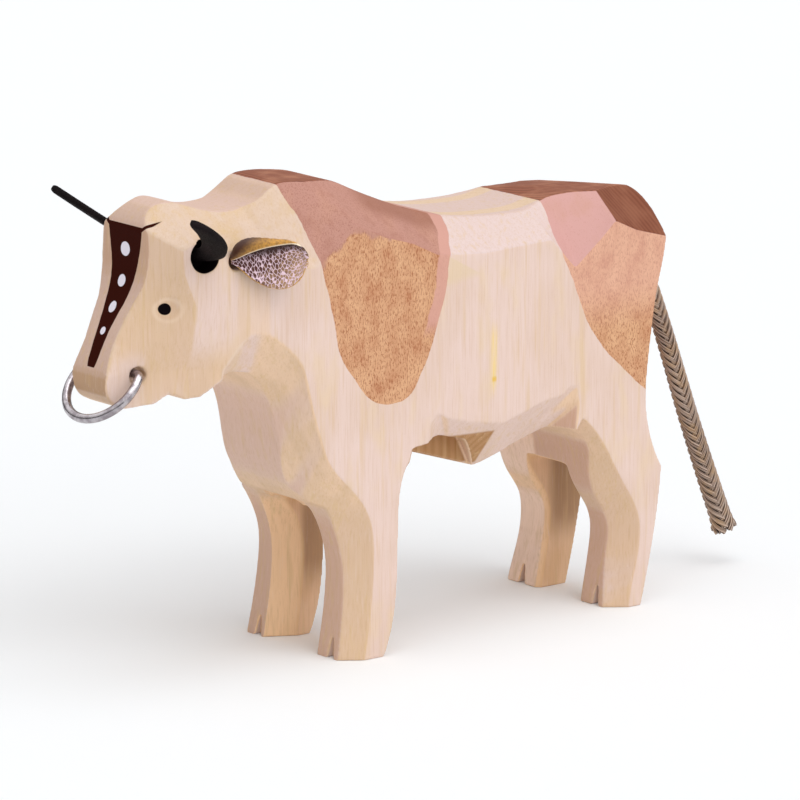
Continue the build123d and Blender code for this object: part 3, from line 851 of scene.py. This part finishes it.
# ears: a leather leaf folded over along its top, lined inside
earShape = {
    "root": (0.0215, -0.05892, 0.1266),
    "along": (0.574, 0.819, 0),
    "thickness": 0.0011,
    # along the ear: (distance, lower edge, top of the fold, lip of the fold, how far the fold comes out)
    "stations": [(-1.6, -0.4, 1.6, 0.5, 1.2), (-0.4, -1.2, 4.2, 0.6, 2.6), (1.2, -2.4, 5.6, 1.1, 3.6),
                 (3.8, -4.7, 6.4, 2.2, 4.2), (7.3, -6.8, 6.4, 3.5, 3.9), (10.8, -8.0, 6.1, 4.4, 3.2),
                 (14.1, -8.0, 5.8, 4.9, 2.3), (16.8, -6.8, 5.2, 4.7, 1.4), (18.9, -4.6, 4.0, 3.7, 1.0),
                 (20.2, -2.2, 2.2, 2.0, 0.7), (20.7, -0.6, 0.7, 0.6, 0.5)],
    "lookedDown": (0.2177, 0.9759),     # sine and cosine of the angle that the photograph looks down by
    "rows": 40,
    "points": 26,
    "girth": 18,            # the leaf's way over, as its paint counts it
    "thinEdge": 0.55,
    "tones": {
        "leather": (66, 30, 12), "nearLip": (200, 144, 54), "grain": (60, 24, 4), "lip": (246, 226, 196),
        "lining": (84, 44, 40), "liningPale": (190, 152, 116), "net": (238, 208, 220),
        "liningFoldShade": (52, 26, 22),
        "cutEdge": (164, 104, 30), "cutEdgePale": (220, 176, 98), "cutLip": (250, 232, 206),
    },
}


def earMesh(cfg, sign):
    along = Vector(cfg["along"]).normalized()
    facing = Vector((along.y, -along.x, 0))
    up = Vector((0, 0, 1))
    root = Vector(cfg["root"])
    rows = spread([(a, low, top) for a, low, top, lip, out in cfg["stations"]], cfg["rows"])
    extra = spread([(a, lip, out) for a, low, top, lip, out in cfg["stations"]], cfg["rows"])
    across = cfg["points"]
    sine, cosine = cfg["lookedDown"]
    grid = []
    for row, more in zip(rows, extra):
        a, low, top = row
        lip, out = more.y, more.z
        fold = min(out / 4.5, 1.1)

        def at(reach, seen):
            # seen is the height as the photograph shows it, so what reaches out lies higher
            return Vector((a, reach, (seen + sine * reach) / cosine))

        # the leaf's section, from its lower edge up over the fold and down to its lip
        tall = top - low
        shape = [at(2.0 * min(1, tall / 9), low), at(0.7, low + 0.22 * tall), at(0.0, low + 0.5 * tall),
                 at(0.15 + 0.2 * fold, low + 0.76 * tall), at(0.9 + 0.9 * fold, low + 0.95 * tall),
                 at(0.55 * out + 0.5, top), at(out * 0.9 + 0.3, top - (top - lip) * 0.45), at(out, lip)]
        grid.append(spread(shape, across))
    half = cfg["thickness"] * 1000 / 2
    n = len(grid)
    verts, faces, mats, uvs = [], [], [], []
    for side in (1, -1):
        for i in range(n):
            for j in range(across):
                p = grid[i][j]
                di = grid[min(i + 1, n - 1)][j] - grid[max(i - 1, 0)][j]
                dj = grid[i][min(j + 1, across - 1)] - grid[i][max(j - 1, 0)]
                normal = di.cross(dj).normalized()
                if normal.length < 0.5:
                    normal = Vector((0, -1, 0))
                edge = min(j, across - 1 - j, n - 1 - i) / 2
                thin = cfg["thinEdge"] + (1 - cfg["thinEdge"]) * min(1, edge)
                q = p + normal * half * side * thin
                w = root + along * q.x / 1000 + facing * q.y / 1000 + up * q.z / 1000
                verts.append(Vector((w.x * sign, w.y, w.z)))
                uvs.append((p.x, j / across * cfg["girth"]))
    m = n * across

    def add(f, kind):
        faces.append(f if sign > 0 else f[::-1])
        mats.append(kind)
    for i in range(n - 1):
        for j in range(across - 1):
            a, b = i * across + j, (i + 1) * across + j
            c, d = b + 1, a + 1
            add((a, b, c, d), 0)
            add((m + a, m + d, m + c, m + b), 1)
    for i in range(n - 1):
        a, b = i * across, (i + 1) * across
        add((a, m + a, m + b, b), 2)
        a, b = a + across - 1, b + across - 1
        add((a, b, m + b, m + a), 2)
    for j in range(across - 1):
        add((j, j + 1, m + j + 1, m + j), 2)
        a = (n - 1) * across + j
        add((a, m + a, m + a + 1, a + 1), 2)
    return verts, faces, mats, uvs


def earOutside(cfg):
    mat, tree, shader = startMaterial("brownEarLeather")
    tones = readyTones(cfg)
    along, over, _ = apart(tree, paintCoords(tree, "hide"))
    where, _ = inMillimetres(tree)
    grain = noiseAt(tree, where, (0.7, 0.7, 0.7), 4.0)
    toLip = ramp(tree, calc(tree, "MULTIPLY_ADD", along, 0.4, over), 14.0, 20.5)
    colour = mixTones(tree, toLip, tones["leather"], tones["nearLip"])
    grained = mixTones(tree, 0.5, colour, tones["grain"])
    colour = mixTones(tree, ramp(tree, grain, 0.35, 0.7), colour, grained)
    colour = mixTones(tree, ramp(tree, over, 16.9, 17.3), colour, tones["lip"])
    tree.links.new(colour, shader.inputs["Base Color"])
    shader.inputs["Roughness"].default_value = 0.5
    bumpFrom(tree, shader, grain, 0.3, 0.0002)
    return mat


# the lining has a pale net over brown cells, with painted shade darker deep in the fold
def earLining(cfg):
    mat, tree, shader = startMaterial("earLining")
    tones = readyTones(cfg)
    uv = paintCoords(tree, "hide")
    along, over, _ = apart(tree, uv)
    cells = tree.nodes.new("ShaderNodeTexVoronoi")
    cells.feature = "DISTANCE_TO_EDGE"
    cells.inputs["Scale"].default_value = 0.98
    cells.inputs["Randomness"].default_value = 0.62
    lean = tree.nodes.new("ShaderNodeMapping")
    lean.inputs["Rotation"].default_value = (0, 0, 0.5)
    lean.inputs["Scale"].default_value = (1.15, 0.72, 1)
    tree.links.new(uv, lean.inputs["Vector"])
    tree.links.new(lean.outputs[0], cells.inputs["Vector"])
    where, _ = inMillimetres(tree)
    fuzz = noiseAt(tree, where, (1.2, 1.2, 1.2), 3.0)
    lightened = calc(tree, "MULTIPLY_ADD", over, -0.03, calc(tree, "MULTIPLY_ADD", along, 0.045, fuzz))
    core = mixTones(tree, ramp(tree, lightened, 0.6, 1.3), tones["lining"], tones["liningPale"])
    net = ramp(tree, cells.outputs[0], 0.035, 0.11)
    colour = mixTones(tree, net, tones["net"], core)
    deepShade = ramp(tree, calc(tree, "MULTIPLY_ADD", along, -0.6, over), 2.4, 6.0)
    deepShade = calc(tree, "MULTIPLY", deepShade, calc(tree, "MULTIPLY_ADD", fuzz, 0.5, 0.7), clamp=True)
    colour = mixTones(tree, deepShade, colour, tones["liningFoldShade"])
    tree.links.new(colour, shader.inputs["Base Color"])
    shader.inputs["Roughness"].default_value = 0.8
    bumpFrom(tree, shader, calc(tree, "SUBTRACT", 1.0, net), 0.6, 0.0003)
    return mat


def earCutEdge(cfg):
    mat, tree, shader = startMaterial("earCutEdge")
    tones = readyTones(cfg)
    _, over, _ = apart(tree, paintCoords(tree, "hide"))
    where, _ = inMillimetres(tree)
    grain = noiseAt(tree, where, (0.8, 0.8, 0.8), 3.0)
    amber = mixTones(tree, ramp(tree, grain, 0.35, 0.65), tones["cutEdge"], tones["cutEdgePale"])
    edge = mixTones(tree, ramp(tree, over, 16.5, 17.0), amber, tones["cutLip"])
    tree.links.new(edge, shader.inputs["Base Color"])
    shader.inputs["Roughness"].default_value = 0.6
    return mat


earLeather = [earOutside(earShape), earLining(earShape), earCutEdge(earShape)]
for name, sign in (("ear_left", 1), ("ear_right", -1)):
    verts, faces, mats, uvs = earMesh(earShape, sign)
    ear = addPiece(name.replace("ear_", "foldedEar_"), verts, faces, "body", slots=earLeather, matIds=mats)
    layPaint(ear, "hide", uvs)
    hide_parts(name)
print("ears folded")


# the ring keeps its drawn shape and gets steel wire
noseWire = {
    "dull": (146, 138, 143),
    "bright": (188, 182, 186),
    "roughness": (0.16, 0.24),
}


def wireMaterial(cfg):
    mat, tree, shader = startMaterial("steelWire")
    where, _ = inMillimetres(tree)
    drawn = noiseAt(tree, where, (2.4, 2.4, 2.4), 3.0)
    colour = mixTones(tree, ramp(tree, drawn, 0.35, 0.65), tone(*cfg["dull"]), tone(*cfg["bright"]))
    tree.links.new(colour, shader.inputs["Base Color"])
    shader.inputs["Metallic"].default_value = 1.0
    tree.links.new(ramp(tree, drawn, 0.3, 0.7, *cfg["roughness"]), shader.inputs["Roughness"])
    bumpFrom(tree, shader, drawn, 0.04, 0.0001)
    return mat


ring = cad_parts["nose_ring"]
ring.data.materials.clear()
ring.data.materials.append(wireMaterial(noseWire))
for poly in ring.data.polygons:
    poly.material_index = 0
    poly.use_smooth = True
print("ring polished")


# floor, light and white surroundings
room = {
    "size": 9.0,
    "tableTones": ((0.93, 0.948, 0.966, 1), (0.935, 0.953, 0.971, 1)),
    "sky": 0.55,
    "topLamp": {"strength": 1.25, "angle": 64, "from": (0.30, 0.02, 0.95)},
    "sideLamp": {"strength": 0.95, "angle": 70, "from": (0.90, 0.12, 0.42)},
}


def layTable(cfg):
    size = cfg["size"]
    mesh = bpy.data.meshes.new("tableTop")
    corners = [(-size, -size, 0), (size, -size, 0), (size, size, 0), (-size, size, 0)]
    mesh.from_pydata(corners, [], [(0, 1, 2, 3)])
    floor = bpy.data.objects.new("tableTop", mesh)
    scene.collection.objects.link(floor)
    mat, tree, shader = startMaterial("whiteTable")
    where, _ = inMillimetres(tree)
    speck = noiseAt(tree, where, (40, 40, 40), 2.0)
    colour = mixTones(tree, speck, *cfg["tableTones"])
    tree.links.new(colour, shader.inputs["Base Color"])
    shader.inputs["Roughness"].default_value = 0.9
    shader.inputs["Specular IOR Level"].default_value = 0.0
    mesh.materials.append(mat)


def hangLamps(cfg):
    for name in ("topLamp", "sideLamp"):
        data = bpy.data.lights.new(name, "SUN")
        data.energy = cfg[name]["strength"]
        data.angle = math.radians(cfg[name]["angle"])
        lamp = bpy.data.objects.new(name, data)
        lamp.rotation_mode = "QUATERNION"
        lamp.rotation_quaternion = Vector(cfg[name]["from"]).to_track_quat("Z", "Y")
        scene.collection.objects.link(lamp)


# the camera sees white, the pieces get softer light, and the metal mirrors a room of its own
def whiteRoom(cfg):
    world = bpy.data.worlds.new("whiteRoom")
    world.use_nodes = True
    tree = world.node_tree
    tree.nodes.clear()
    end = tree.nodes.new("ShaderNodeOutputWorld")

    def background(strength):
        node = tree.nodes.new("ShaderNodeBackground")
        node.inputs["Color"].default_value = (1, 1, 1, 1)
        feed(tree, node.inputs["Strength"], strength)
        return node.outputs[0]

    def either(share, first, second):
        node = tree.nodes.new("ShaderNodeMixShader")
        for socket, value in zip(node.inputs, (share, first, second)):
            tree.links.new(value, socket)
        return node.outputs[0]

    path = tree.nodes.new("ShaderNodeLightPath")
    coord = tree.nodes.new("ShaderNodeTexCoord")
    height = apart(tree, coord.outputs["Generated"])[2]
    # bright overhead and dim low down behind the camera
    mirrored = background(ramp(tree, height, 0.05, 0.75, 0.10, 1.3))
    straight = calc(tree, "MAXIMUM", path.outputs["Is Camera Ray"], path.outputs["Is Transmission Ray"])
    light = either(straight, background(cfg["sky"]), background(1.0))
    light = either(path.outputs["Is Glossy Ray"], light, mirrored)
    tree.links.new(light, end.inputs[0])
    scene.world = world


layTable(room)
hangLamps(room)
whiteRoom(room)
scene.view_settings.view_transform = "Standard"
print("room lit")
